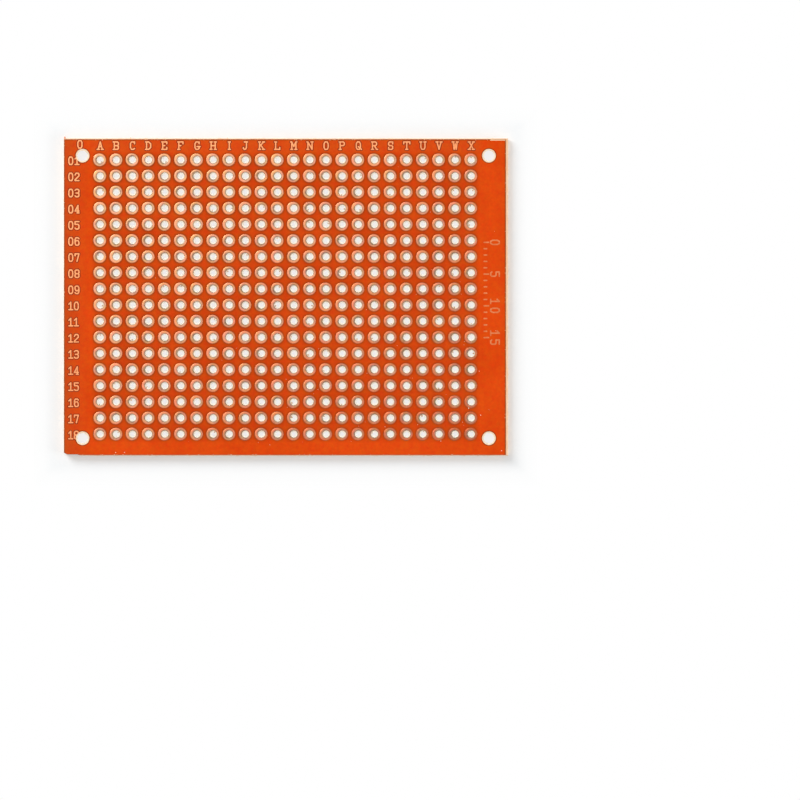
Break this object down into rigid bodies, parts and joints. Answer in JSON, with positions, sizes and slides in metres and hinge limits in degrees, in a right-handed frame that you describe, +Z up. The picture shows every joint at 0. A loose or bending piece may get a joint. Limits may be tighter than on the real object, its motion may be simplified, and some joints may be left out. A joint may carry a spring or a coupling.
{
  "type": "prototype board",
  "caption": "Flat single-sided perforated prototype board with a grid of copper-ringed holes and corner mounting holes.",
  "frame": {"origin": "middle of the bare underside, on the surface that the board lies on", "axes": "+X along the lettered columns, +Y towards the column letters, +Z up out of the copper side"},
  "size_m": [0.07, 0.05, 0.0012],
  "materials": {
    "laminate": "resin-bonded paper laminate, cut edges pale and fibrous",
    "copper": "bare etched copper under a thin clear flux coat",
    "mask": "semi-gloss orange solder mask"
  },
  "bodies": {
    "root": {"laminate": "laminate", "copper_pads": "copper", "solder_mask": "mask"}
  },
  "joints": []
}
